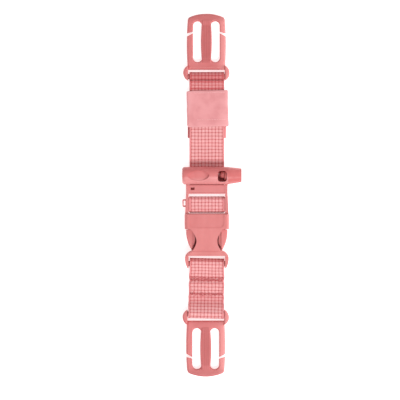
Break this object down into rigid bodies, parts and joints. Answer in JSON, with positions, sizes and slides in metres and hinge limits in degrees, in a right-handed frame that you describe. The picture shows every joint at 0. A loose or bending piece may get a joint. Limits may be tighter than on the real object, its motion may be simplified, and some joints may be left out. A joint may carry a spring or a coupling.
{
  "type": "chest strap",
  "caption": "Adjustable chest strap in woven webbing with a side-release buckle, a whistle on its male half, a keeper band and a split-bar clip at each end.",
  "frame": {"origin": "middle of the female buckle's flat back, on the surface that the strap lies on", "axes": "+Y along the strap from the female buckle to the whistle and the upper clip, +X towards the whistle's mouthpiece, +Z out of the front"},
  "size_m": [0.0425, 0.2607, 0.0153],
  "materials": {
    "coral_plastic": "satin moulded acetal, coral pink",
    "clip_plastic": "satin moulded acetal with a finely textured centre bar, coral pink",
    "webbing": "coarse plain-woven nylon webbing, coral pink",
    "keeper_band": "smooth knitted elastic, pale pink",
    "thread": "twisted polyester sewing thread, coral pink"
  },
  "bodies": {
    "buckle": {"buckle_socket": "coral_plastic"},
    "whistle_half": {"whistle_frame": "coral_plastic", "whistle_mouthpiece": "coral_plastic", "whistle_end_cap": "coral_plastic", "bar_sleeve": "webbing"},
    "prong_right": {"right_prong": "coral_plastic"},
    "prong_left": {"left_prong": "coral_plastic"},
    "upper_strap": {"upper_web": "webbing", "upper_web_stitching": "thread"},
    "keeper": {"web_keeper": "keeper_band", "keeper_stitching": "thread"},
    "clip_upper": {"upper_clip": "clip_plastic"},
    "lower_strap": {"lower_web": "webbing", "lower_web_stitching": "thread"},
    "clip_lower": {"lower_clip": "clip_plastic"}
  },
  "joints": [
    {"name": "buckle_release", "type": "slide", "parent": "buckle", "child": "whistle_half", "axis": [0, 1, 0], "range_m": [0, 0.026], "deforming": ["left_prong", "right_prong"]},
    {"name": "right_prong_squeeze", "type": "hinge", "parent": "whistle_half", "child": "prong_right", "pos_m": [0.011, 0.0133, 0.0055], "axis": [0, 0, -1], "range_deg": [0, 9], "stiffness_Nm_per_rad": 0.02},
    {"name": "left_prong_squeeze", "type": "hinge", "parent": "whistle_half", "child": "prong_left", "pos_m": [-0.011, 0.0133, 0.0055], "axis": [0, 0, 1], "range_deg": [0, 9], "stiffness_Nm_per_rad": 0.02},
    {"name": "upper_strap_fold", "type": "hinge", "parent": "whistle_half", "child": "upper_strap", "pos_m": [0, 0.0334, 0.0034], "axis": [1, 0, 0], "range_deg": [-100, 2]},
    {"name": "keeper_slide", "type": "slide", "parent": "upper_strap", "child": "keeper", "axis": [0, 1, 0], "range_m": [-0.015, 0.001]},
    {"name": "upper_clip_tilt", "type": "hinge", "parent": "upper_strap", "child": "clip_upper", "pos_m": [-0.0003, 0.1138, 0.0039], "axis": [1, 0, 0], "range_deg": [-90, 90]},
    {"name": "lower_strap_fold", "type": "hinge", "parent": "buckle", "child": "lower_strap", "pos_m": [0, -0.0204, 0.0039], "axis": [1, 0, 0], "range_deg": [-100, 100]},
    {"name": "lower_clip_tilt", "type": "hinge", "parent": "lower_strap", "child": "clip_lower", "pos_m": [-0.00075, -0.0565, 0.0039], "axis": [1, 0, 0], "range_deg": [-90, 90]}
  ],
  "couplings": [
    {"joint": "left_prong_squeeze", "follows": "right_prong_squeeze", "ratio": 1}
  ]
}
